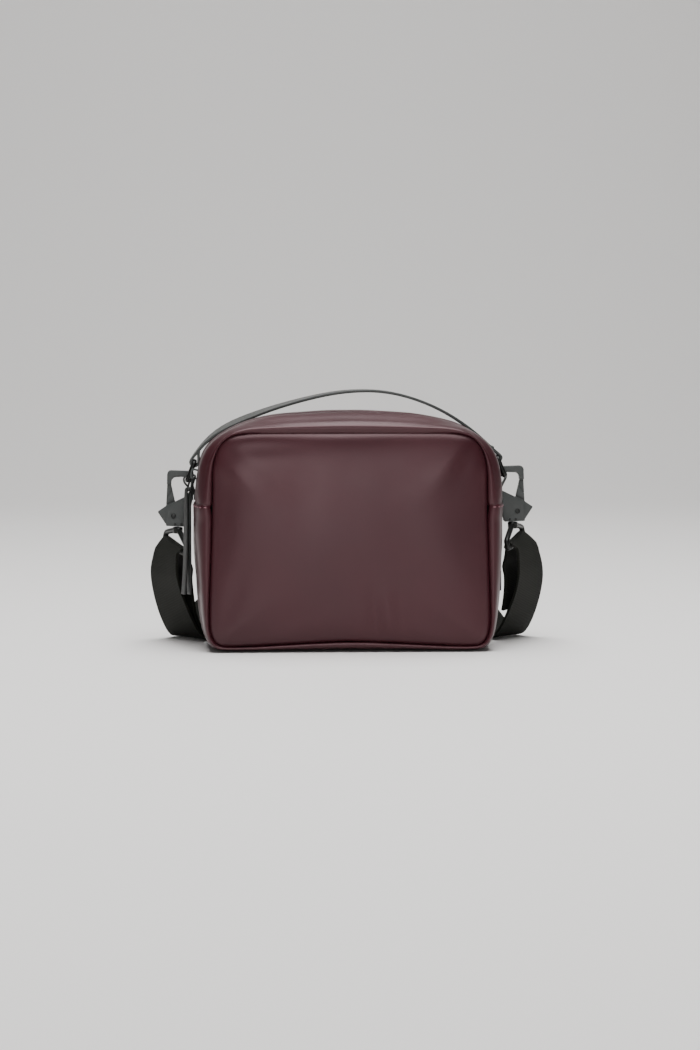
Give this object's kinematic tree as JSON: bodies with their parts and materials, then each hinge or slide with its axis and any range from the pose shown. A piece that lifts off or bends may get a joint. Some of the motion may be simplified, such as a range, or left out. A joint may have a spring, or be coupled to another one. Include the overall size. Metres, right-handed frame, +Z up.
{
  "type": "box bag",
  "caption": "Small zip-top box bag of coated fabric with a flat top handle, sprung carabiners at both sides and a webbing shoulder strap",
  "frame": {"origin": "middle of the flat base, where the bag stands", "axes": "+Z up, the front panel faces -Y, +X to the right as seen from the front"},
  "size_m": [0.27, 0.2531, 0.177],
  "materials": {
    "coated_fabric": "matte rubbery coating",
    "grey_strap": "matte",
    "coated_metal": "matte powder coat",
    "ring_metal": "satin",
    "webbing": "ribbed weave",
    "zip_cloth": "fine weave",
    "zip_nylon": "satin"
  },
  "bodies": {
    "root": {"front_panel": "coated_fabric", "back_panel": "coated_fabric", "lower_gusset": "coated_fabric", "zip_band_front": "coated_fabric", "zip_band_rear": "coated_fabric", "zip_tape": "zip_cloth", "zip_teeth": "zip_nylon", "zip_slider": "coated_metal", "puller_ring": "ring_metal", "puller_strip": "grey_strap", "handle": "grey_strap", "side_ring_left": "ring_metal", "side_ring_right": "ring_metal", "side_tab_left": "grey_strap", "side_tab_right": "grey_strap", "hook_frame_left": "coated_metal", "hook_frame_right": "coated_metal", "rivet_left": "ring_metal", "rivet_right": "ring_metal", "strap_ring_left": "ring_metal", "strap_ring_right": "ring_metal", "strap": "webbing", "strap_slider": "ring_metal", "side_label": "webbing"},
    "gate_left": {"gate_left": "coated_metal"},
    "gate_right": {"gate_right": "coated_metal"}
  },
  "joints": [
    {"name": "gate_left_hinge", "type": "hinge", "parent": "root", "child": "gate_left", "pos_m": [-0.1196, 0.015, 0.0894], "axis": [0, 1, 0], "range_deg": [0, 24], "stiffness_Nm_per_rad": 0.002},
    {"name": "gate_right_hinge", "type": "hinge", "parent": "root", "child": "gate_right", "pos_m": [0.1182, 0.015, 0.0922], "axis": [0, -1, 0], "range_deg": [0, 24], "stiffness_Nm_per_rad": 0.002}
  ]
}
